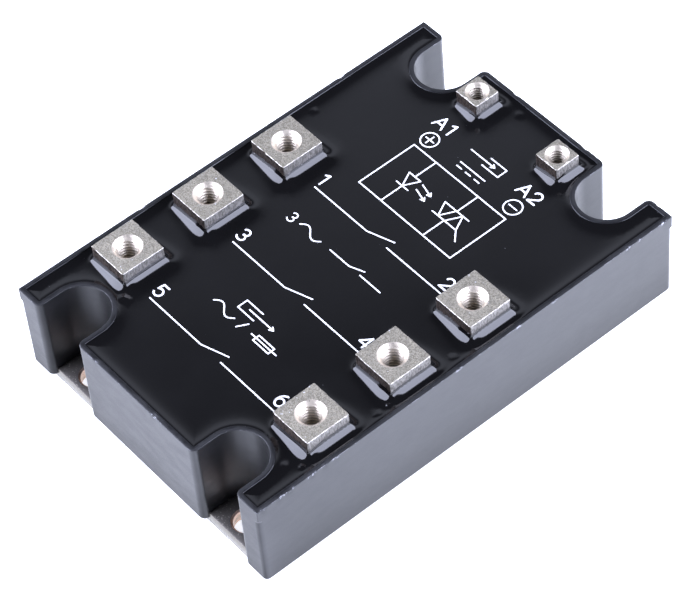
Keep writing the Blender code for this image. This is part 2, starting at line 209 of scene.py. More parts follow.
def make_case(material):
    """The wall's section, as pairs of inset and height, carried round the notched outline."""
    over_plate = in_notch(case_outline(0.0))
    bottom = np.where(over_plate, PLATE_HIGH[2] + 0.02, CASE_LOW[2])
    ledge = RIM - BAND
    edge, foot = 0.16, 0.45
    above_bottom = [(WALL - edge, 0.0), (edge, 0.0), (0.05, 0.05), (0.0, edge), (0.0, foot)]
    lower = [(0.0, z) for z in (6.0, 9.5, 13.0, 16.5, ledge - 0.5, ledge - 0.06)]
    upper = [(0.0, ledge), (0.0, ledge + 0.5)]
    upper += [(0.0, RIM - d) for d in (1.4, 0.6, 0.3, 0.09)]
    upper += [(0.03, RIM - 0.03), (0.09, RIM)]
    upper += [(i, RIM) for i in (0.34, 0.55, 0.78, WALL - 0.05)]
    upper += [(WALL, RIM - d) for d in (0.05, 0.5, 2.5, 10.0)]
    rings = []

    def add_ring(inset, corner, height):
        rings.append(lifted(case_outline(inset, corner), height))

    for inset, height in above_bottom:
        add_ring(inset, LOWER_CORNER, bottom + height)
    for inset, height in lower:
        add_ring(inset, LOWER_CORNER, height)
    for inset, height in upper:
        add_ring(inset, UPPER_CORNER, height)
    for height in (foot, edge):
        add_ring(WALL, LOWER_CORNER, bottom + height)
    vertices, faces = loft(rings, closed=True)
    wear_and_highlight = (np.abs(vertices[:, 2] - (RIM - 0.03)) < 0.001) & (wall_inset(vertices) < 0.3)
    chip = knock_rim(vertices)
    shell = add_piece("case_shell", vertices, faces, material)
    paint(shell, "film", rim_film(vertices))
    paint(shell, "wear_and_highlight", wear_and_highlight)
    paint(shell, "chip", chip)
    return shell


def wall_inset(points):
    """How far in from the case's outer wall a point lies, notches included."""
    inset = np.minimum(SIDE - np.abs(points[:, 0]), END - np.abs(points[:, 1]))
    notch = np.hypot(np.abs(points[:, 0]) - NOTCH_X, np.maximum(0, NOTCH_Y - np.abs(points[:, 1])))
    return np.minimum(inset, np.abs(notch - NOTCH_RADIUS))


def knock_rim(vertices):
    """Pushes the rim in where it was knocked, and returns how broken each point is, from 0 to 1."""
    near = np.where(vertices[:, 2] > RIM - KNOCKED)[0]
    top = vertices[near]
    depth = np.zeros(len(near))
    for x, y, deep, reach in CHIPS:
        distance = np.hypot(top[:, 0] - x, top[:, 1] - y)
        depth += deep * np.exp(-(distance / reach) ** 4)
    chip = np.zeros(len(vertices))
    chip[near] = np.clip(depth / 0.22, 0, 1) * (top[:, 2] > RIM - 0.31) * (wall_inset(top) < 0.2)
    depth += 0.02 * np.abs(fractal(top, 0.9))
    share = np.clip((top[:, 2] - (RIM - KNOCKED)) / KNOCKED, 0, 1)
    inward = np.column_stack([
        np.sign(top[:, 0]) * (SIDE - np.abs(top[:, 0]) < 0.3),
        np.sign(top[:, 1]) * (END - np.abs(top[:, 1]) < 0.3),
    ])
    vertices[near, 2] -= depth * share
    vertices[near, :2] -= inward * (0.6 * depth * share)[:, None]
    return chip


def rim_film(vertices):
    """How much of the rim's top carries a skin of resin that crept over it."""
    film = np.zeros(len(vertices))
    near = np.where(vertices[:, 2] > RIM - 0.5)[0]
    top = vertices[near]
    creep = wall_inset(top) - 0.55 + 0.45 * fractal(top, 3.0) + 0.25 * fractal(top + 40, 0.8)
    film[near] = np.clip(creep / 0.25, 0, 1)
    return film


# ---- resin


class Block:
    """The outline of one terminal block in plan."""

    def __init__(self, node, kind):
        low, high = corners(node)
        self.node, self.kind = node, kind
        self.centre = (low[:2] + high[:2]) / 2
        self.half = (high[0] - low[0]) / 2
        self.top, self.bottom = high[2], low[2]

    def distance(self, x, y):
        """Distance outside the block's rounded square, negative inside."""
        flat = self.half - BLOCK_ROUND
        dx, dy = np.abs(x - self.centre[0]) - flat, np.abs(y - self.centre[1]) - flat
        outside = np.hypot(np.maximum(dx, 0), np.maximum(dy, 0))
        return outside + np.minimum(np.maximum(dx, dy), 0) - BLOCK_ROUND

    def cornerness(self, x, y):
        """1 on the lines through the -Y corners, falling smoothly to 0 along each side and towards +Y."""
        u = np.maximum(np.abs(x - self.centre[0]) / self.half, 0.01)
        v = np.maximum(np.abs(y - self.centre[1]) / self.half, 0.01)
        front = 0.5 - 0.5 * np.tanh(1.5 * (y - self.centre[1]) / self.half)
        return front * ((u**4 + v**4) * (u**-4 + v**-4) / 4) ** -2

    def outline(self, offset, side_steps=20, corner_steps=7):
        """Points round the square at a distance from its sides, anticlockwise from the +X side."""
        flat, radius = self.half - BLOCK_ROUND, BLOCK_ROUND + offset
        quarter = np.concatenate([
            line((flat + radius, -flat), (flat + radius, flat), side_steps),
            arc(flat, flat, radius, 0, 90, corner_steps),
        ])
        turns = [quarter]
        for _ in range(3):
            turns.append(np.column_stack([-turns[-1][:, 1], turns[-1][:, 0]]))
        return np.concatenate(turns) + self.centre


blocks = [Block(node, "power") for node in POWER_NODES] + [Block(node, "input") for node in INPUT_NODES]

DRIPS = [  # x, y, height, reach of small lumps where the resin ran or splashed
    (-21.2, -38.8, 0.30, 0.9), (-20.2, -38.2, 0.18, 0.6), (31.5, -41.5, 0.16, 0.7), (34.0, -39.4, 0.2, 0.5),
    (34.2, -21.0, 0.14, 0.6), (34.1, -18.3, 0.18, 0.5), (33.8, -1.6, 0.12, 0.6), (-34.0, 20.0, 0.1, 0.7),
    (9.0, 50.2, 0.14, 0.8), (-4.0, 49.6, 0.1, 0.9),
]


def wall_distance(x, y):
    """Distance in from the case's inner wall, notches included."""
    ax, ay = np.abs(x), np.abs(y)
    straight = np.minimum(SIDE - WALL - ax, END - WALL - ay)
    notch = np.hypot(ax - NOTCH_X, np.minimum(ay - NOTCH_Y, 0)) - (NOTCH_RADIUS + WALL)
    return np.minimum(straight, notch)


def resin_height(x, y):
    """Height of the resin: a pool that climbs walls and blocks, with lumps and slow waves from the pour."""
    wall = np.maximum(wall_distance(x, y), -SUNK)
    z = RESIN_TOP + WALL_CLIMB * np.exp(-wall / WALL_REACH)
    clear_of_wall = 1.0 - np.exp(-((wall / 0.9) ** 2))
    for block in blocks:
        d = np.maximum(block.distance(x, y), -SUNK)
        size = 1.0 if block.kind == "power" else 0.92
        lean = np.tanh(1.3 * (x - block.centre[0]) / block.half)
        reach = BLOCK_REACH * size * (0.72 + 0.26 * lean) * (1.0 - CORNER_DROP * block.cornerness(x, y))
        z += BLOCK_SLOPE * reach * (1.0 - np.tanh(d / reach)) * clear_of_wall
        z += WET_CLIMB * (1.0 - np.tanh(d / WET_REACH))
    for cx, cy, high, reach in DRIPS:
        z += high * np.exp(-((x - cx) ** 2 + (y - cy) ** 2) / reach**2)
    z += 0.014 * np.sin(x / 6.1 + 0.8 * np.sin(y / 9.0)) * np.cos(y / 7.7 + 1.1)
    z += 0.020 * np.sin(x / 15.0 - 0.6) * np.sin(y / 19.0 + 0.4)
    return z


def resin_normals(x, y):
    """The surface's unit normals, from its slope over a short step each way."""
    step = 0.01
    dx = (resin_height(x + step, y) - resin_height(x - step, y)) / (2 * step)
    dy = (resin_height(x, y + step) - resin_height(x, y - step)) / (2 * step)
    n = np.column_stack([-dx, -dy, np.ones_like(dx)])
    return n / np.linalg.norm(n, axis=1)[:, None]


# Distances from a block and from the wall of the rings of points on the resin.
BLOCK_RINGS = (-0.06, 0.0, 0.06, 0.12, 0.19, 0.27, 0.37, 0.5, 0.66, 0.86, 1.1, 1.4, 1.75, 2.2, 2.8, 3.6)
WALL_RINGS = (0.08, 0.2, 0.36, 0.56, 0.8, 1.1, 1.5, 2.0, 2.7, 3.6)
GRID_STEP, GRID_MARGIN = 1.6, 3  # points on the open resin: spacing, distance in from the case's outside
COARSE = 0.45  # share of the outline's points that the resin's edge has
SKIN = 0.5  # thickness of the sheet whose top is the wetted surface
SLIVER = 2e-7  # folds thinner than this many metres are closed


def resin_plan():
    """Points and triangles of the resin's surface in plan: rings round the blocks and along the walls."""
    outer = case_outline(WALL - SUNK, fine=COARSE)
    loops = [outer] + [block.outline(-SUNK) for block in blocks]
    loose = [case_outline(WALL + d, fine=COARSE) for d in WALL_RINGS]
    for block in blocks:
        loose += [block.outline(d, 20, 7 + 2 * int(d)) for d in BLOCK_RINGS]
    xs = np.arange(-SIDE + GRID_MARGIN, SIDE - GRID_MARGIN, GRID_STEP)
    ys = np.arange(-END + GRID_MARGIN, END - GRID_MARGIN, GRID_STEP)
    grid = np.stack(np.meshgrid(xs, ys), axis=-1).reshape(-1, 2)
    grid[:, 0] += 0.5 * GRID_STEP * (np.round((grid[:, 1] + END) / GRID_STEP) % 2)
    loose.append(grid)
    points = np.concatenate(loose)
    clear = wall_distance(points[:, 0], points[:, 1]) > 0.04
    for block in blocks:
        clear &= block.distance(points[:, 0], points[:, 1]) > 0.03 - SUNK
    edges, coords, start = [], [], 0
    for loop in loops:
        count = len(loop)
        coords.append(loop)
        edges += [(start + i, start + (i + 1) % count) for i in range(count)]
        start += count
    coords.append(points[clear])
    coords = np.concatenate(coords)
    made, _, triangles, *_ = delaunay_2d_cdt([Vector(p) for p in coords], edges, [], 0, 1e-4)
    made = np.array([tuple(p) for p in made])
    triangles = np.array(triangles)
    middle = made[triangles].mean(axis=1)
    keep = wall_distance(middle[:, 0], middle[:, 1]) > -SUNK
    for block in blocks:
        keep &= block.distance(middle[:, 0], middle[:, 1]) > -SUNK
    return made, triangles[keep]


def thick_sheet(points, triangles, top, bottom):
    """A closed solid: the triangles at their top and bottom heights, and walls round every rim."""
    used, inverse = np.unique(triangles, return_inverse=True)
    triangles = inverse.reshape(triangles.shape)
    points, top, bottom = points[used], top[used], bottom[used]
    count = len(points)
    vertices = np.concatenate([np.column_stack([points, top]), np.column_stack([points, bottom])])
    a, b, c = (points[triangles[:, i]] for i in range(3))
    flipped = (b[:, 0] - a[:, 0]) * (c[:, 1] - a[:, 1]) < (b[:, 1] - a[:, 1]) * (c[:, 0] - a[:, 0])
    triangles[flipped] = triangles[flipped][:, ::-1]
    ends = np.concatenate([triangles[:, [0, 1]], triangles[:, [1, 2]], triangles[:, [2, 0]]])
    known = {tuple(e) for e in ends.tolist()}
    rim = [(i, j) for i, j in known if (j, i) not in known]
    faces = triangles.tolist() + (triangles[:, ::-1] + count).tolist()
    faces += [(j, i, i + count, j + count) for i, j in sorted(rim)]
    return vertices, faces


def make_resin(material):
    """The poured resin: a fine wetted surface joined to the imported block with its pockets."""
    points, triangles = resin_plan()
    top = resin_height(points[:, 0], points[:, 1])
    bottom = np.full(len(points), RESIN_TOP - SKIN)
    skin = add_piece("resin_skin", *thick_sheet(points, triangles, top, bottom), material)
    body = bpy.data.objects.new("resin_body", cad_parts["potting_resin"].data.copy())
    link(body)
    weld = body.modifiers.new("Weld", "WELD")
    weld.merge_threshold = 1e-6
    join = body.modifiers.new("Join", "BOOLEAN")
    join.operation, join.solver, join.object = "UNION", "EXACT", skin
    bpy.context.view_layer.update()
    graph = bpy.context.evaluated_depsgraph_get()
    mesh = bpy.data.meshes.new_from_object(body.evaluated_get(graph))
    for obj in (skin, body):
        bpy.data.objects.remove(obj)
    drop_slivers(mesh)
    mesh.name = "resin_fill"
    mesh.materials.clear()
    mesh.materials.append(material)
    resin = bpy.data.objects.new("resin_fill", mesh)
    link(resin)
    set_resin_normals(mesh)
    return resin


def drop_slivers(mesh):
    """Closes the hair-thin folds that the join leaves where the two walls nearly meet."""
    shape = bmesh.new()
    shape.from_mesh(mesh)
    bmesh.ops.remove_doubles(shape, verts=shape.verts, dist=SLIVER)
    bmesh.ops.dissolve_degenerate(shape, dist=SLIVER, edges=shape.edges)
    shape.to_mesh(mesh)
    shape.free()


def set_resin_normals(mesh):
    """The wetted surface is shaded by its exact slope, and the rest flat."""
    while mesh.uv_layers:
        mesh.uv_layers.remove(mesh.uv_layers[0])
    mesh.shade_smooth()
    co = gather(mesh.vertices, "co", 3) / MM
    x, y = co[:, 0].astype(float), co[:, 1].astype(float)
    loop_vertex = gather(mesh.loops, "vertex_index", kind=np.int32)
    sizes = gather(mesh.polygons, "loop_total", kind=np.int32)
    normals = np.repeat(gather(mesh.polygons, "normal", 3), sizes, axis=0)
    on_top = (np.abs(co[:, 2] - resin_height(x, y)) < 0.004)[loop_vertex] & (normals[:, 2] > 0.02)
    normals[on_top] = resin_normals(x, y)[loop_vertex][on_top]
    mesh.normals_split_custom_set(normals.tolist())


# ---- terminals


def groove(angle, depth, core, crest, pitch):
    """Radius of a tapped bore at an angle and a depth: a V thread with flats at its root and crest."""
    phase = (depth / pitch + angle / (2 * math.pi)) % 1.0
    wave = np.abs(2 * phase - 1)
    return core + (crest - core) * np.clip(1.25 * wave - 0.12, 0, 1)


def make_terminal(block, material):
    """A sawn block with a tapped bore: rings from the bore's tip up its thread, over the top and down."""
    core, crest, pitch, mouth = THREADS[block.kind]

    def square(offset):
        return block.outline(offset, 18, 5) - block.centre

    base = square(0.0)
    angle = np.arctan2(base[:, 1], base[:, 0])
    circle = np.column_stack([np.cos(angle), np.sin(angle)])
    rings, depth_end = [], BORE_DEPTH[block.kind]

    def ring(points, height):
        rings.append(lifted(points, height))

    tip = depth_end + core * 0.6
    for share in (0.02, 0.5, 0.95):
        ring(circle * core * share, -(tip + (depth_end - tip) * share))
    for depth in np.arange(depth_end, 0.02, -pitch / 7):
        radius = np.maximum(groove(angle, depth, core, crest, pitch), mouth - depth * 1.05)
        ring(circle * radius[:, None], -depth)
    ring(circle * mouth, 0.0)
    ring(circle * (mouth + 0.07), LIP)
    ring(circle * (mouth + 0.2), LIP)
    ring(circle * (mouth + 0.55), 0.0)
    for share in (0.3, 0.6, 0.85, 0.95, 0.985):
        ring(circle * (mouth + 0.55) * (1 - share) + square(-EDGE) * share, 0.0)
    for turn in (0, 30, 60, 90):
        a = math.radians(turn)
        ring(square(-EDGE * (1 - math.sin(a))), -EDGE * (1 - math.cos(a)))
    height = block.top - block.bottom
    for drop in (0.26, 0.4, 0.7, 1.0, 1.4, 1.8, 2.2, 2.6, 3.1, 3.7, 4.6, height - 0.4):
        ring(base, -drop)
    ring(square(-0.1), -(height - 0.1))
    ring(square(-0.4), -height)
    vertices, faces = loft(rings)
    around = len(base)
    shape_block(vertices, block, mouth)
    vertices = np.concatenate([vertices, [[0, 0, -tip], [0, 0, -height]]])
    first, last = len(vertices) - 2, len(vertices) - 1
    end = (len(rings) - 1) * around
    faces += [((i + 1) % around, i, first) for i in range(around)]
    faces += [(end + i, end + (i + 1) % around, last) for i in range(around)]
    radius, depth = np.hypot(vertices[:, 0], vertices[:, 1]), -vertices[:, 2]
    inside = (depth < height - 1) * (radius < mouth + 0.1)
    tapped = inside * (depth > mouth - core) * (radius > core * 0.9)
    # Painted shade: the thread's grooves darken towards their roots, and the bore darkens deep down.
    dark_from = THREAD_DARK_FROM[block.kind]
    painted_groove_shade = tapped * np.clip((radius - core) / (crest - core), 0, 1) ** 1.7
    painted_groove_shade = painted_groove_shade * np.clip((depth - dark_from) / (2.2 * dark_from), 0, 1)
    painted_groove_shade = np.maximum(painted_groove_shade, inside * np.clip((depth - 6) / 6, 0, 0.25))
    wide = np.abs(vertices[:, :2]).max(axis=1)
    # Top edges: worn plating, with a painted highlight along them.
    wear_and_highlight = (np.abs(depth - EDGE * 0.4) < EDGE * 0.45) * (wide > block.half - EDGE * 0.9)
    vertices[:, 2] -= vertices[:, 2].max()
    vertices += [block.centre[0], block.centre[1], block.top]
    faces = [face[::-1] for face in faces]  # outside, the rings run down, so loft turns the faces in
    obj = add_piece(block.node + "_block", vertices, faces, material)
    paint(obj, "bore", inside * BORE_SHINE[block.kind])
    paint(obj, "thread", painted_groove_shade)
    paint(obj, "wear_and_highlight", wear_and_highlight)
    return obj


def shape_block(vertices, block, mouth):
    """Sawn, barrelled and knocked: the outer faces and edges are moved a little, the bore is not."""
    seed = np.array([block.centre[0] * 3.1, block.centre[1] * 1.7, 5.0])
    radius = np.hypot(vertices[:, 0], vertices[:, 1])
    outer = np.where(radius > mouth + 0.3)[0]
    p = vertices[outer]
    size = block.half
    rough = fractal(p + seed, 1.1)
    fine = fractal(p * (1, 1, 0.4) + seed * 2, 0.45)
    wide = np.maximum(np.abs(p[:, 0]), np.abs(p[:, 1]))
    on_side = np.clip((wide - (size - EDGE)) / EDGE, 0, 1)
    near_top = np.clip(1 + p[:, 2] / 0.5, 0, 1)
    dent = np.clip(fractal(p + seed * 3, 0.8) - 0.25, 0, 1)
    push = on_side * (0.035 * rough + 0.03 * fine - 0.035) - on_side * near_top * 0.22 * dent
    push = np.minimum(push, 0)
    outward = p[:, :2] / wide[:, None]
    sawn = np.abs(p[:, 1]) > np.abs(p[:, 0])
    push *= np.where(sawn, 1.5, 1.0)
    vertices[outer, :2] += outward * push[:, None]
    vertices[outer, 2] += near_top * (0.012 * rough - on_side * 0.15 * dent)
    above = vertices[outer, 2] > 0
    vertices[outer[above], 2] *= 0.5


# ---- base plate

HOLE_RADIUS, HOLE_CHAMFER, PLATE_CHAMFER = 2.65, 0.4, 0.25
BURR = 0.15  # chamfer of a hole's lower edge
PLATE_CORNER = 0.3


def from_holes(x, y):
    """Distance from the axis of the nearest hole."""
    return np.hypot(np.abs(x) - NOTCH_X, np.abs(y) - NOTCH_Y)


def plate_outline(inset):
    x, y, r = PLATE_HIGH[0] - inset, PLATE_HIGH[1] - inset, PLATE_CORNER
    return all_round(np.concatenate([
        line((x, 0), (x, y - r), 12),
        arc(x - r, y - r, r, 0, 90, 4),
        line((x - r, y), (0, y), 9),
    ]))


def make_plate(material):
    """Chamfered edges and bores, joined by flat faces that are triangulated round the holes."""
    bottom, top = PLATE_LOW[2], PLATE_HIGH[2]
    c, h = PLATE_CHAMFER, HOLE_CHAMFER
    edge = [(c, bottom), (c * 0.3, bottom + c * 0.3), (0, bottom + c)]
    edge += [(0, top - c), (c * 0.3, top - c * 0.3), (c, top)]
    bore = [(BURR, bottom), (0, bottom + BURR), (0, top - h), (h * 0.9, top - 0.04), (h, top)]
    walls = [[(plate_outline(inset), z) for inset, z in edge]]
    for x in (NOTCH_X, -NOTCH_X):
        for y in (NOTCH_Y, -NOTCH_Y):
            walls.append([(arc(x, y, HOLE_RADIUS + grow, 0, 360, 56)[:-1], z) for grow, z in bore])
    vertices, faces, lows, highs = np.zeros((0, 3)), [], [], []
    for number, rings in enumerate(walls):
        wall, wall_faces = loft([lifted(points, z) for points, z in rings])
        start, end, count = len(vertices), len(vertices) + len(wall), len(rings[0][0])
        if number:
            wall_faces = [face[::-1] for face in wall_faces]
        faces += [[start + i for i in face] for face in wall_faces]
        lows.append(list(range(start, start + count)))
        highs.append(list(range(end - count, end)))
        vertices = np.concatenate([vertices, wall])
    faces += flat_faces(vertices, lows, HOLE_RADIUS + BURR, False)
    faces += flat_faces(vertices, highs, HOLE_RADIUS + HOLE_CHAMFER, True)
    plate = add_piece("heat_spreader", vertices, faces, material)
    plate.data.set_sharp_from_angle(angle=math.radians(30))
    near_hole = from_holes(vertices[:, 0], vertices[:, 1]) < HOLE_RADIUS + HOLE_CHAMFER * 0.95
    paint(plate, "bare", near_hole & (vertices[:, 2] > bottom + 0.05))
    return plate


def flat_faces(vertices, loops, hole, up):
    """Triangles between the first loop and the rest, which are holes of that radius."""
    order = [i for loop in loops for i in loop]
    place = {i: n for n, i in enumerate(order)}
    edges = [(place[i], place[j]) for loop in loops for i, j in zip(loop, loop[1:] + loop[:1])]
    flat = [Vector(vertices[i][:2]) for i in order]
    made, _, triangles, *_ = delaunay_2d_cdt(flat, edges, [], 0, 1e-5)
    faces = []
    for triangle in triangles:
        a, b, c = (made[i] for i in triangle)
        middle = (a + b + c) / 3
        if from_holes(middle.x, middle.y) < hole * 0.997:
            continue
        turn = (b.x - a.x) * (c.y - a.y) - (b.y - a.y) * (c.x - a.x)
        face = [order[i] for i in triangle]
        faces.append(face if (turn > 0) == up else face[::-1])
    return faces


# ---- print

STROKE, BOLD = 0.30, 0.42  # widths of the lines
SHIFT = np.array([-0.4, 0.3])  # the print sits this far off the case's centre


def ribbon(path, width):
    """The outline of a stroke along a smooth path, with round ends."""
    path = np.asarray(path, float)
    tangent = np.gradient(path, axis=0)
    tangent /= np.linalg.norm(tangent, axis=1)[:, None]
    side = np.column_stack([-tangent[:, 1], tangent[:, 0]]) * width / 2
    first, last = (math.degrees(math.atan2(t[1], t[0])) for t in (tangent[0], tangent[-1]))
    tail = arc(*path[0], width / 2, first + 90, first + 270, 6)
    nose = arc(*path[-1], width / 2, last - 90, last + 90, 6)
    return np.concatenate([tail, (path - side)[1:-1], nose, (path + side)[1:-1][::-1]])


def dashes(*points):
    """Straight strokes from each point to the next."""
    return [np.linspace(a, b, max(3, int(math.dist(a, b) / 0.8) + 2)) for a, b in zip(points, points[1:])]


def curve(cx, cy, rx, ry, start, end, steps=16):
    """Part of an ellipse, as one stroke."""
    a = np.radians(np.linspace(start, end, steps + 1))
    return [np.column_stack([cx + rx * np.cos(a), cy + ry * np.sin(a)])]


def ring_strokes(cx, cy, radius):
    return curve(cx, cy, radius, radius, 0, 190, 20) + curve(cx, cy, radius, radius, 180, 370, 20)


def wave(x, y, length=6.4, height=1.9):
    """One period of a sine, from its left end."""
    t = np.linspace(0, 1, 19)
    return [np.column_stack([x + length * t, y + height / 2 * np.sin(2 * math.pi * t)])]


GLYPHS = {  # strokes in a cell 3.3 high
    "1": dashes((0.35, 2.62), (1.2, 3.12), (1.2, 0.18)),
    "2": curve(1.2, 2.2, 0.95, 0.92, 165, -38) + dashes((1.95, 1.64), (0.2, 0.18), (2.2, 0.18)),
    "3": curve(1.15, 2.37, 0.85, 0.75, 150, -90) + curve(1.12, 0.95, 0.98, 0.78, 90, -155),
    "4": dashes((1.75, 0.18), (1.75, 3.12), (0.15, 1.0), (2.35, 1.0)),
    "5": dashes((2.05, 3.12), (0.55, 3.12), (0.35, 1.75)) + curve(1.15, 1.12, 1.0, 0.95, 140, -150),
    "6": curve(1.75, 1.35, 1.55, 1.8, 100, 190) + ring_strokes(1.2, 1.1, 0.94),
    "A": dashes((0.15, 0.18), (1.45, 3.12), (2.75, 0.18)) + dashes((0.6, 1.15), (2.3, 1.15)),
}


def glyph(sign, x, y, scale=1.0):
    return [path * scale + (x, y) for path in GLYPHS[sign]]


def triangle_sign(x, y, size, turn):
    """A diode's triangle, pointing along turn, with the bar at its tip."""
    a = math.radians(turn)
    along, across = np.array([math.cos(a), math.sin(a)]), np.array([-math.sin(a), math.cos(a)])
    at = np.array([x, y])
    tip, base = at + along * size, at - along * size
    bar = dashes(tip + across * size, tip - across * size)
    return dashes(tip, base + across * size, base - across * size, tip) + bar


def arrow(start, end, head=0.8):
    start, end = np.array(start, float), np.array(end, float)
    along = (end - start) / np.linalg.norm(end - start)
    across = np.array([-along[1], along[0]])
    barbs = [end - head * (along + 0.6 * side * across) for side in (1, -1)]
    return dashes(start, end) + dashes(barbs[0], end) + dashes(barbs[1], end)


def legend_strokes():
    """The print in four groups: terminal marks, contact symbols, supply symbols and the inner circuit."""
    rows = (7.6, -13.3, -34.2)
    marks = []
    for numbers, x in (("135", -18.5), ("246", 18.6)):
        for number, y in zip(numbers, rows):
            marks += glyph(number, x, y)
    for number, x in (("1", -11.0), ("2", 14.0)):
        marks += glyph("A", x - 3.4, 34.8) + glyph(number, x, 34.8)
    contacts = []
    for y in (6.64, -14.36, -35.2):
        contacts += dashes((-17.4, y), (-1.4, y), (4.7, y + 2.0)) + dashes((4.64, y), (22.9, y))
    supply = ring_strokes(-11.1, 31.6, 1.95) + dashes((-12.2, 31.6), (-10.0, 31.6))
    supply += dashes((-11.1, 30.5), (-11.1, 32.7))
    supply += ring_strokes(13.8, 31.6, 1.95) + dashes((12.7, 31.6), (14.9, 31.6))
    supply += arrow((-3.4, 35.95), (3.6, 35.95))
    supply += dashes((1.2, 37.2), (5.8, 37.2), (5.8, 34.7), (1.2, 34.7))
    supply += dashes((-2.4, 32.2), (4.8, 32.2))
    supply += [p for x in (-2.4, 0.2, 2.8) for p in dashes((x + 0.2, 31.0), (x + 1.6, 31.0))]
    supply += dashes((1.0, -21.7), (-3.8, -21.7), (-3.8, -24.1), (1.0, -24.1))
    supply += arrow((-1.6, -22.9), (5.6, -22.9))
    supply += wave(-8.4, -26.4) + dashes((-0.2, -27.5), (1.0, -25.3))
    supply += dashes((3.2, -26.4), (10.6, -26.4))
    supply += dashes((4.6, -27.2), (9.2, -27.2), (9.2, -25.6), (4.6, -25.6), (4.6, -27.2))
    supply += glyph("3", -15.2, -3.0, 0.8) + wave(-11.9, -1.75)
    supply += dashes((-2.6, -1.75), (3.2, -1.75), (6.4, -0.5)) + dashes((6.4, -1.75), (12.4, -1.75))
    low, high = (-12.3, 13.9), (15.1, 28.5)
    circuit = dashes(low, (high[0], low[1]), high, (low[0], high[1]), low)
    circuit += triangle_sign(-5.6, 21.2, 1.7, -90)
    circuit += dashes((-5.6, 28.5), (-5.6, 22.9)) + dashes((-5.6, 19.5), (-5.6, 13.9))
    circuit += arrow((-2.9, 22.6), (0.5, 21.7)) + arrow((-2.9, 20.9), (0.5, 20.0))
    circuit += triangle_sign(5.2, 21.2, 1.7, -90) + triangle_sign(8.8, 21.2, 1.7, 90)
    circuit += dashes((3.5, 22.9), (10.5, 22.9)) + dashes((3.5, 19.5), (10.5, 19.5))
    circuit += dashes((7.0, 22.9), (7.0, 28.5)) + dashes((7.0, 19.5), (7.0, 13.9))
    circuit += dashes((10.5, 19.5), (12.6, 17.4))
    return {"marks": marks, "contacts": contacts, "supply": supply, "circuit": circuit}


def make_legend(name, strokes, material, width):
    """Strokes merged into one thin raised layer that follows the resin."""
    points, loops = [], []
    for path in strokes:
        outline = ribbon(path + SHIFT, width)
        loops.append(list(range(len(points), len(points) + len(outline))))
        points += [Vector(p) for p in outline]
    made, _, triangles, _, _, origins = delaunay_2d_cdt(points, [], loops, 1, 1e-4)
    made = np.array([tuple(p) for p in made])
    triangles = [triangle for triangle, inside in zip(triangles, origins) if inside]
    height = resin_height(made[:, 0], made[:, 1])
    sheet = thick_sheet(made, np.array(triangles), height + 0.03, height - 0.05)
    return add_piece(name, *sheet, material, smooth=False)


# ---- materials


class Nodes:
    """Short ways to add and link a material's nodes."""

    def __init__(self, holder, shader="Principled BSDF", place="Object"):
        holder.use_nodes = True
        self.holder = holder
        self.tree = holder.node_tree
        self.shader = self.tree.nodes[shader]
        self.place = self.add("ShaderNodeTexCoord").outputs[place]

    def add(self, kind, **values):
        node = self.tree.nodes.new(kind)
        for key, value in values.items():
            setattr(node, key, value)
        return node

    def feed(self, socket, value):
        """Links a socket or sets a value. A colour is given without its alpha."""
        if isinstance(value, bpy.types.NodeSocket):
            self.tree.links.new(value, socket)
        else:
            socket.default_value = (*value, 1.0) if socket.type == "RGBA" else value

    def feed_all(self, node, **inputs):
        """Feeds inputs by name, with _ for a space, and gives back the node's outputs."""
        for name, value in inputs.items():
            self.feed(node.inputs[name.replace("_", " ")], value)
        return node.outputs

    def stretch(self, scale):
        node = self.add("ShaderNodeMapping")
        return self.feed_all(node, Vector=self.place, Scale=scale)["Vector"]

    def noise(self, size, detail=3.0, rough=0.55, source=None):
        """Noise with features of that many millimetres."""
        node = self.add("ShaderNodeTexNoise")
        outputs = self.feed_all(
            node, Vector=source or self.place, Scale=1 / (size * MM), Detail=detail, Roughness=rough
        )
        return outputs["Fac"]

    def cells(self, size):
        """Distance from the nearest of points scattered about that many millimetres apart."""
        node = self.add("ShaderNodeTexVoronoi")
        return self.feed_all(node, Vector=self.place, Scale=1 / (size * MM))["Distance"]

    def remap(self, value, low, high, to_low=0.0, to_high=1.0):
        node = self.add("ShaderNodeMapRange", interpolation_type="SMOOTHSTEP")
        for socket, given in zip(node.inputs, (value, low, high, to_low, to_high)):
            self.feed(socket, given)
        return node.outputs["Result"]

    def math(self, operation, a, b=0.0):
        node = self.add("ShaderNodeMath", operation=operation)
        self.feed(node.inputs[0], a)
        self.feed(node.inputs[1], b)
        return node.outputs[0]

    def plus(self, a, b):
        return self.math("ADD", a, b)

    def minus(self, a, b):
        return self.math("SUBTRACT", a, b)

    def times(self, a, b):
        return self.math("MULTIPLY", a, b)

    def upright(self):
        """1 on what stands upright, 0 on what faces up or down."""
        return self.remap(self.math("ABSOLUTE", self.facing("Z")), 0.3, 0.7, 1.0, 0.0)

    def mix(self, share, a, b):
        node = self.add("ShaderNodeMix", data_type="RGBA")
        self.feed(node.inputs["Factor"], share)
        self.feed(node.inputs[6], a)
        self.feed(node.inputs[7], b)
        return node.outputs[2]

    def bump(self, height, distance, strength=1.0, normal=None):
        """distance is the height of the relief in millimetres."""
        node = self.add("ShaderNodeBump")
        if normal:
            self.feed(node.inputs["Normal"], normal)
        return self.feed_all(node, Height=height, Distance=distance * MM, Strength=strength)["Normal"]

    def split(self, source):
        node = self.add("ShaderNodeSeparateXYZ")
        self.feed(node.inputs[0], source)
        return node.outputs

    def facing(self, axis):
        """1 where the surface faces along the axis, -1 where it faces against it."""
        return self.split(self.add("ShaderNodeNewGeometry").outputs["Normal"])[axis]

    def at(self, axis):
        """The place along an axis, in metres."""
        return self.split(self.place)[axis]

    def attribute(self, name):
        return self.add("ShaderNodeAttribute", attribute_name=name).outputs["Fac"]

    def finish(self, **inputs):
        self.feed_all(self.shader, **inputs)
        return self.holder


def surface(name):
    """The nodes of a new material."""
    return Nodes(bpy.data.materials.new(name))


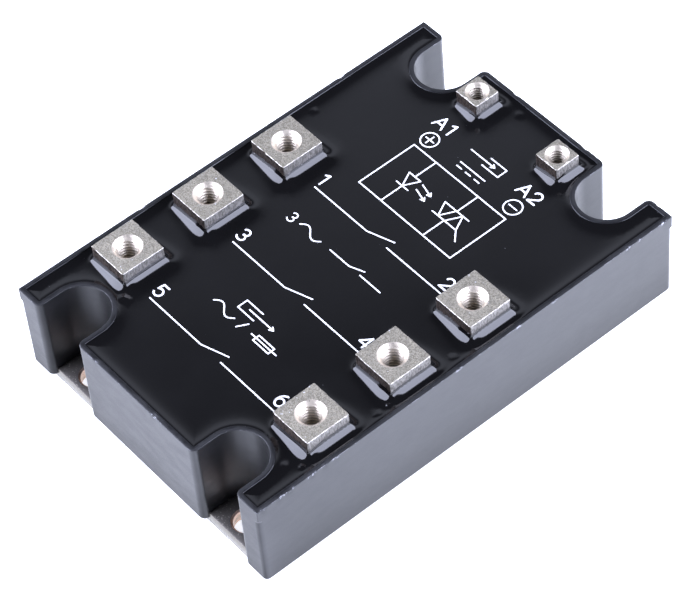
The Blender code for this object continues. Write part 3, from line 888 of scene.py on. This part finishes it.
def case_plastic():
    """Matte black moulding: fine grain, faint flow marks, pale worn edges, and painted shade and painted
    light in its sheen.
    """
    n = surface("Moulded plastic")
    grain = n.noise(0.16, 4.0, 0.6)
    cloud = n.noise(4.5, 4.0, 0.6)
    flow = n.noise(1.6, 3.0, 0.6, n.stretch((0.35, 0.35, 1.0)))
    colour = n.mix(n.remap(cloud, 0.35, 0.65), (0.0085, 0.0085, 0.0092), (0.012, 0.012, 0.013))
    worn = n.times(n.attribute("wear_and_highlight"), n.remap(n.noise(1.3), 0.54, 0.64))
    colour = n.mix(n.times(worn, 0.7), colour, (0.24, 0.24, 0.26))
    broken = n.times(n.attribute("chip"), n.remap(n.noise(0.6, 3.0, 0.6), 0.50, 0.60))
    colour = n.mix(broken, colour, (0.46, 0.47, 0.51))
    film = n.attribute("film")
    colour = n.mix(film, colour, (0.006, 0.006, 0.007))
    rough = n.remap(flow, 0.3, 0.7, 0.33, 0.39)
    rough = n.plus(rough, n.remap(grain, 0.3, 0.7, -0.03, 0.03))
    rough = n.minus(rough, n.times(film, 0.2))
    rough = n.plus(rough, n.remap(n.facing("Z"), 0.5, 0.9, 0.0, 0.16))
    relief = n.bump(grain, 0.010, 0.7, n.bump(flow, 0.02, 0.3))
    # Sheen, with places in metres: less on the right side towards the front, as painted shade for the
    # floor's contact shadow there.
    painted_front_shade = n.times(n.remap(n.at("Y"), -0.056, -0.02, 1.0, 0.0), n.remap(n.facing("X"), 0.5, 0.9))
    shine = n.minus(n.remap(cloud, 0.3, 0.7, 0.58, 0.48), n.times(painted_front_shade, 0.21))
    # Painted light: more on what faces right, except in the front left quarter, where all of it is duller
    # as painted shade.
    left = n.remap(n.at("X"), -0.022, 0.0, 1.0, 0.0)
    front_left = n.times(left, n.remap(n.at("Y"), -0.02, 0.0, 1.0, 0.0))
    painted_right_light = n.times(n.remap(n.facing("X"), 0.6, 1.0, 0.0, 0.33), n.minus(1.0, front_left))
    shine = n.plus(shine, painted_right_light)
    shine = n.times(shine, n.remap(front_left, 0.0, 1.0, 1.0, 0.84))
    # Painted shade: less on the front of the right lug, and less towards the floor, most of all on the
    # front, for the floor's contact shadow that the sides reflect.
    lug = n.times(n.remap(n.at("X"), 0.029, 0.031), n.remap(n.facing("Y"), -0.5, -0.9))
    shine = n.minus(shine, n.times(lug, 0.19))
    painted_floor_shade = n.remap(n.facing("Y"), -0.5, -0.9, 0.72, 0.50)
    shine = n.times(shine, n.remap(n.at("Z"), 0.0, 0.012, painted_floor_shade, 1.0))
    return n.finish(
        Base_Color=colour, Roughness=rough, Normal=relief, IOR=1.5, Specular_IOR_Level=shine,
        Specular_Tint=(0.94, 0.96, 1.0),
    )


def potting_resin():
    """Glossy black epoxy with dust on it and a faint orange peel."""
    n = surface("Potting resin")
    haze = n.noise(14.0, 3.0)
    speck = n.math("LESS_THAN", n.cells(2.1), n.remap(n.noise(5.0), 0.45, 0.75, 0.0, 0.055))
    fluff = n.times(speck, n.remap(n.noise(0.7), 0.45, 0.6))
    colour = n.mix(haze, (0.0028, 0.0027, 0.0029), (0.0040, 0.0039, 0.0042))
    colour = n.mix(fluff, colour, (0.12, 0.12, 0.13))
    rough = n.plus(n.remap(haze, 0.3, 0.7, 0.07, 0.12), n.times(fluff, 0.5))
    peel = n.bump(n.noise(2.6, 2.0), 0.004, 0.5)
    return n.finish(Base_Color=colour, Roughness=rough, Normal=n.bump(fluff, 0.03, 1.0, peel), IOR=1.52)


def nickel_plate():
    """Dull nickel over sawn brass: mottled and pitted on top, darker and browner on the sawn ends, with
    painted shade in the thread's grooves and a painted highlight on its worn top edges.
    """
    block_top = blocks[0].top
    n = surface("Nickel plate")
    mottle, grain, fine = n.noise(0.8, 3.0, 0.6), n.noise(0.26, 2.0, 0.5), n.noise(0.11, 2.0)
    pits = n.remap(n.cells(0.42), 0.07, 0.22)
    colour = n.mix(n.remap(grain, 0.40, 0.62), (0.26, 0.24, 0.19), (0.52, 0.48, 0.39))
    colour = n.mix(n.remap(mottle, 0.35, 0.65, 0.0, 0.35), colour, (0.50, 0.47, 0.40))
    colour = n.mix(n.remap(fine, 0.56, 0.70, 0.0, 0.8), colour, (0.84, 0.80, 0.72))
    colour = n.mix(n.remap(pits, 0.0, 1.0, 0.5, 0.0), colour, (0.16, 0.14, 0.12))
    drops = n.math("LESS_THAN", n.cells(0.9), n.remap(n.noise(3.5), 0.48, 0.68, 0.0, 0.19))
    colour = n.mix(n.times(drops, 0.8), colour, (0.88, 0.89, 0.92))
    low = n.remap(n.at("Z"), (RESIN_TOP + 0.9) * MM, (RESIN_TOP + 2.4) * MM, 0.75, 0.0)
    upright = n.upright()
    saw = n.noise(0.5, 4.0, 0.7, n.stretch((1.6, 1.6, 0.5)))
    side = n.mix(n.remap(saw, 0.35, 0.65), (0.20, 0.19, 0.175), (0.50, 0.48, 0.455))
    side = n.mix(low, side, (0.07, 0.066, 0.062))
    sawn = n.remap(n.math("ABSOLUTE", n.facing("Y")), 0.75, 0.92)
    brown = n.mix(n.remap(saw, 0.35, 0.65), (0.022, 0.016, 0.013), (0.12, 0.095, 0.08))
    side = n.mix(sawn, side, brown)
    bore = n.attribute("bore")
    colour = n.mix(n.times(upright, n.minus(1.0, bore)), colour, side)
    colour = n.mix(bore, colour, (0.70, 0.63, 0.53))
    # Painted shade in the thread's grooves and deep in the bore.
    thread = n.attribute("thread")
    colour = n.mix(thread, colour, (0.05, 0.03, 0.02))
    # Worn top edges, partly a painted highlight: bright patches with duller ones between.
    edge = n.mix(n.remap(n.noise(0.55, 3.0, 0.6), 0.42, 0.60), (0.30, 0.28, 0.25), (0.82, 0.80, 0.76))
    colour = n.mix(n.times(n.attribute("wear_and_highlight"), 0.85), colour, edge)
    rough = n.plus(n.remap(mottle, 0.3, 0.7, 0.66, 0.54), n.remap(fine, 0.35, 0.7, 0.04, -0.12))
    rough = n.minus(rough, n.times(bore, 0.21))
    relief = n.bump(grain, 0.026, 0.7, n.bump(fine, 0.014, 0.6))
    relief = n.bump(pits, 0.02, 0.6, relief)
    deep = n.remap(n.at("Z"), (block_top - 3.0) * MM, (block_top - 0.8) * MM, 0.50, 0.25)
    metal = n.minus(1.0, n.times(bore, deep))
    return n.finish(Base_Color=colour, Roughness=rough, Metallic=metal, Normal=relief)


def milled_aluminium():
    """Milled plate: fine lines along its length, dull oxide and a few scratches, with painted shade on its
    top.
    """
    n = surface("Milled aluminium")
    lines = n.noise(0.5, 2.0, 0.5, n.stretch((1.0, 0.04, 1.0)))
    cloud = n.noise(3.0, 4.0)
    scratch = n.remap(n.noise(0.6, 2.0, 0.5, n.stretch((0.08, 1.0, 1.0))), 0.66, 0.72)
    colour = n.mix(n.remap(cloud, 0.3, 0.7), (0.27, 0.255, 0.23), (0.38, 0.365, 0.33))
    colour = n.mix(n.times(scratch, 0.5), colour, (0.62, 0.61, 0.60))
    colour = n.mix(n.times(n.upright(), 0.7), colour, (0.17, 0.155, 0.13))
    upward = n.remap(n.facing("Z"), 0.5, 0.9)
    speck = n.times(upward, n.remap(n.noise(0.3, 2.0), 0.62, 0.70))
    # Painted shade: what faces up is darkened, for the shade the plate's top lies in within the notches.
    colour = n.mix(upward, colour, (0.090, 0.082, 0.074))
    colour = n.mix(speck, colour, (0.26, 0.24, 0.21))
    bare = n.times(n.attribute("bare"), n.remap(n.noise(1.5), 0.35, 0.55, 0.5, 1.0))
    colour = n.mix(bare, colour, (0.62, 0.45, 0.36))
    rough = n.plus(n.remap(lines, 0.3, 0.7, 0.20, 0.27), n.remap(cloud, 0.3, 0.7, 0.0, 0.08))
    rough = n.plus(rough, n.times(upward, 0.2))
    metal = n.minus(1.0, n.times(upward, 0.5))
    return n.finish(Base_Color=colour, Roughness=rough, Metallic=metal, Normal=n.bump(lines, 0.010, 0.4))


def white_ink():
    n = surface("White ink")
    worn = n.remap(n.noise(0.5, 4.0, 0.7), 0.30, 0.42)
    colour = n.mix(worn, (0.55, 0.56, 0.58), (0.86, 0.87, 0.88))
    return n.finish(Base_Color=colour, Roughness=0.55, Normal=n.bump(n.noise(0.2), 0.006, 0.6))


def plain_finish(name, dark, light, rough, size, metallic=0.0, relief=0.01, stretch=(1.0, 1.0, 1.0)):
    """A mottled finish for a piece inside the resin, with mottles size millimetres across."""
    n = surface(name)
    grain = n.noise(size, 4.0, 0.6, n.stretch(stretch))
    fine = n.noise(size * 0.2, 2.0)
    colour = n.mix(n.remap(grain, 0.3, 0.7), dark, light)
    rough = n.remap(grain, 0.3, 0.7, rough - 0.06, rough + 0.06)
    rough = n.plus(rough, n.remap(fine, 0.3, 0.7, -0.03, 0.03))
    bumps = n.bump(fine, relief, 0.6)
    return n.finish(Base_Color=colour, Roughness=rough, Metallic=metallic, Normal=bumps)


def board_laminate():
    """Green solder resist with the glass weave showing through it."""
    n = surface("Glass epoxy board")
    across = n.add("ShaderNodeTexWave", wave_type="BANDS", bands_direction="X")
    along = n.add("ShaderNodeTexWave", wave_type="BANDS", bands_direction="Y")
    for weave in (across, along):
        n.feed_all(weave, Vector=n.place, Scale=0.35 / MM, Distortion=0.4)
    weave = n.times(across.outputs["Fac"], along.outputs["Fac"])
    colour = n.mix(n.remap(weave, 0.0, 1.0), (0.020, 0.11, 0.045), (0.055, 0.21, 0.09))
    rough = n.remap(weave, 0, 1, 0.42, 0.32)
    return n.finish(Base_Color=colour, Roughness=rough, Normal=n.bump(weave, 0.01, 0.5))


def inner_finishes():
    """Finishes of the pieces inside the resin, by material slot."""
    return {
        "copper": plain_finish(
            "Copper", (0.55, 0.26, 0.15), (0.80, 0.45, 0.30), 0.36, 1.2, 1.0, stretch=(1.0, 0.15, 1.0)
        ),
        "tin": plain_finish("Tinned wire", (0.52, 0.52, 0.50), (0.72, 0.72, 0.70), 0.34, 0.5, metallic=1.0),
        "ceramic": plain_finish("Alumina", (0.76, 0.75, 0.71), (0.88, 0.87, 0.83), 0.5, 0.6),
        "silicon": plain_finish(
            "Silicon", (0.12, 0.13, 0.16), (0.22, 0.23, 0.27), 0.24, 2.0, metallic=0.3, relief=0.004
        ),
        "board": board_laminate(),
        "moulded": plain_finish("Moulded body", (0.022, 0.022, 0.022), (0.042, 0.042, 0.042), 0.56, 0.8),
        "film": plain_finish("Film capacitor shell", (0.50, 0.36, 0.08), (0.66, 0.50, 0.15), 0.42, 1.5),
        "lacquer": plain_finish("Resistor lacquer", (0.25, 0.30, 0.39), (0.38, 0.43, 0.52), 0.42, 0.9),
    }


# ---- studio

# The camera fitted to the photo: what it aims at, where it stands and its lens.
AIM = Vector((4.4, -3.4, 13.5)) * MM
CAMERA_AZIMUTH, CAMERA_ELEVATION, CAMERA_ROLL = 54.22, 50.24, -5.8
CAMERA_DISTANCE = 635.4 * MM
LENS = 166.2
PANEL_DISTANCE, PANEL_WIDTH, PANEL_RADIANCE = 1.0, 1.60, 10.0
COOL = (0.75, 0.79, 1.0)
FLOOR_RADIUS, FLOOR_DROP = 4000.0, 0.03


def direction(azimuth, elevation):
    """Azimuth 0 points to -Y and 90 to +X."""
    a, e = math.radians(azimuth), math.radians(elevation)
    return Vector((math.sin(a) * math.cos(e), -math.cos(a) * math.cos(e), math.sin(e)))


def make_camera():
    data = bpy.data.cameras.new("camera")
    data.sensor_width, data.lens = 36.0, LENS
    data.clip_start, data.clip_end = 0.01, 20.0
    camera = bpy.data.objects.new("camera", data)
    link(camera)
    back = direction(CAMERA_AZIMUTH, CAMERA_ELEVATION)
    camera.location = AIM + back * CAMERA_DISTANCE
    camera.rotation_mode = "QUATERNION"
    roll = Quaternion((0, 0, 1), math.radians(CAMERA_ROLL))
    camera.rotation_quaternion = (-back).to_track_quat("-Z", "Y") @ roll
    bpy.context.scene.camera = camera


def add_softbox(name, azimuth, height):
    """An upright elliptical panel that stands on the floor, facing the object."""
    light = bpy.data.lights.new(name, "AREA")
    light.shape, light.size, light.size_y = "ELLIPSE", PANEL_WIDTH, height
    light.color = COOL
    light.energy = PANEL_RADIANCE * math.pi * PANEL_WIDTH * height * math.pi / 4
    obj = bpy.data.objects.new(name, light)
    link(obj)
    away = direction(azimuth, 0)
    obj.location = away * PANEL_DISTANCE + Vector((0, 0, height / 2))
    obj.rotation_euler = away.to_track_quat("Z", "Y").to_euler()
    obj.visible_camera = False


def make_studio():
    """Two softboxes, a dim room with a glowing band opposite the camera, and a white page behind."""
    add_softbox("right_panel", 126, 1.50)
    add_softbox("left_panel", -40, 2.10)
    scene = bpy.context.scene
    world = bpy.data.worlds.new("studio")
    scene.world = world
    n = Nodes(world, "Background", "Generated")
    x, y, z = n.split(n.place)
    behind = n.plus(n.times(x, -0.81), n.times(y, 0.585))
    band = n.times(n.remap(z, 0.82, 0.66), n.remap(z, 0.42, 0.60))
    glow = n.times(n.remap(behind, 0.0, 0.4), band)
    sky = n.mix(n.remap(z, 0.0, 0.5), (0.40, 0.42, 0.49), (0.05, 0.053, 0.068))
    sky = n.mix(glow, sky, (0.74, 0.78, 0.93))
    seen = n.add("ShaderNodeLightPath").outputs["Is Camera Ray"]
    n.feed(n.shader.inputs["Color"], n.mix(seen, sky, (1.0, 1.0, 1.0)))
    make_floor()
    scene.view_settings.view_transform = "Standard"
    scene.cycles.use_denoising = True


def make_floor():
    """A round pale sheet that glows as painted light, less towards -Y, bright enough to read as white
    paper.
    """
    vertices = lifted(arc(0, 0, FLOOR_RADIUS, 0, 360, 64)[:-1], -FLOOR_DROP)
    n = surface("Floor paper")
    tint = n.mix(n.noise(400.0), (0.80, 0.80, 0.80), (0.82, 0.82, 0.82))
    # Painted light: the floor glows, less towards -Y in front of the object.
    glow = n.remap(n.at("Y"), -0.06, 0.09, 0.9, 1.35)
    material = n.finish(
        Base_Color=tint, Roughness=0.8, Emission_Color=(0.88, 0.92, 1.0), Emission_Strength=glow
    )
    add_piece("floor", vertices, [list(range(len(vertices)))], material, smooth=False)


# ---- build


def carry_over_finishes(finishes):
    """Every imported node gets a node-based finish by its material slot."""
    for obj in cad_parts.values():
        for slot in obj.material_slots:
            slot.material = finishes[slot.material.name.split(".")[0]]


def main():
    finishes = {"case": case_plastic(), "resin": potting_resin(), "nickel": nickel_plate()}
    finishes["plate"] = milled_aluminium()
    made = [(make_case(finishes["case"]), "case_frame", "case")]
    made.append((make_resin(finishes["resin"]), "potting_resin", "resin"))
    made.append((make_plate(finishes["plate"]), "base_plate", "plate"))
    for block in blocks:
        made.append((make_terminal(block, finishes["nickel"]), block.node, "nickel"))
    for obj, node, slot in made:
        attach(obj, "root")
        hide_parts(node)
    ink = white_ink()
    for name, strokes in legend_strokes().items():
        width = BOLD if name == "marks" else STROKE
        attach(make_legend("legend_" + name, strokes, ink, width), "root")
    finishes.update(inner_finishes())
    carry_over_finishes(finishes)
    make_camera()
    make_studio()


main()
